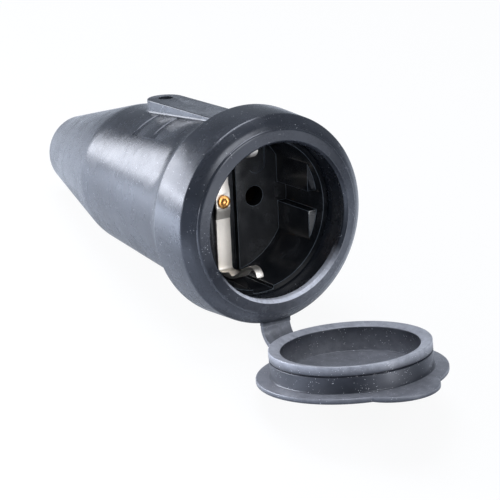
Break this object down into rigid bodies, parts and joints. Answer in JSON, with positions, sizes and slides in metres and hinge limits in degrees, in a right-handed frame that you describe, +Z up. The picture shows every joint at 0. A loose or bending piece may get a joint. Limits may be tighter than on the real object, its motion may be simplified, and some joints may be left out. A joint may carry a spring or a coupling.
{
  "type": "inline socket connector",
  "caption": "Rubber inline socket for an earthed round-pin plug, with a conical cord end and a hinged sealing lid on a short strap",
  "frame": {"origin": "on the socket's axis at the front edge of the mouth's sealing lip", "axes": "+X is to the right when looking into the tail from the mouth, with the tongue on top; +Y runs from the mouth to the tail along the floor; +Z is up as the connector lies. The socket's own axis leans 12.1 degrees down from +Y towards the tail"},
  "size_m": [0.056, 0.172, 0.0603],
  "materials": {
    "housing_rubber": "dark grey moulded rubber, satin",
    "lid_rubber": "dark grey moulded rubber, dusty satin",
    "insert_thermoset": "black moulded thermoset",
    "nickel_strip": "nickel plated strip",
    "brass": "plain turned brass",
    "zinc_steel": "zinc plated steel"
  },
  "bodies": {
    "root": {"housing": "housing_rubber", "lid_strap": "lid_rubber", "contact_carrier": "insert_thermoset", "terminal_base": "insert_thermoset", "terminal_cover": "insert_thermoset", "earth_bridge": "nickel_strip", "earth_screw": "brass", "earth_terminal": "brass", "earth_terminal_screw": "zinc_steel", "live_contact": "brass", "neutral_contact": "brass", "live_terminal": "brass", "neutral_terminal": "brass", "live_terminal_screw": "zinc_steel", "neutral_terminal_screw": "zinc_steel", "carrier_screw_left": "zinc_steel", "carrier_screw_right": "zinc_steel", "clamp_saddle": "insert_thermoset", "clamp_screw_left": "zinc_steel", "clamp_screw_right": "zinc_steel", "housing_screw": "zinc_steel", "housing_nut": "zinc_steel"},
    "lid": {"lid": "lid_rubber"}
  },
  "joints": [
    {"name": "lid_hinge", "type": "hinge", "parent": "root", "child": "lid", "pos_m": [0, -0.00522, -0.03069], "axis": [1, 0, 0], "range_deg": [-85.2, 90], "deforming": ["lid_strap"]}
  ]
}
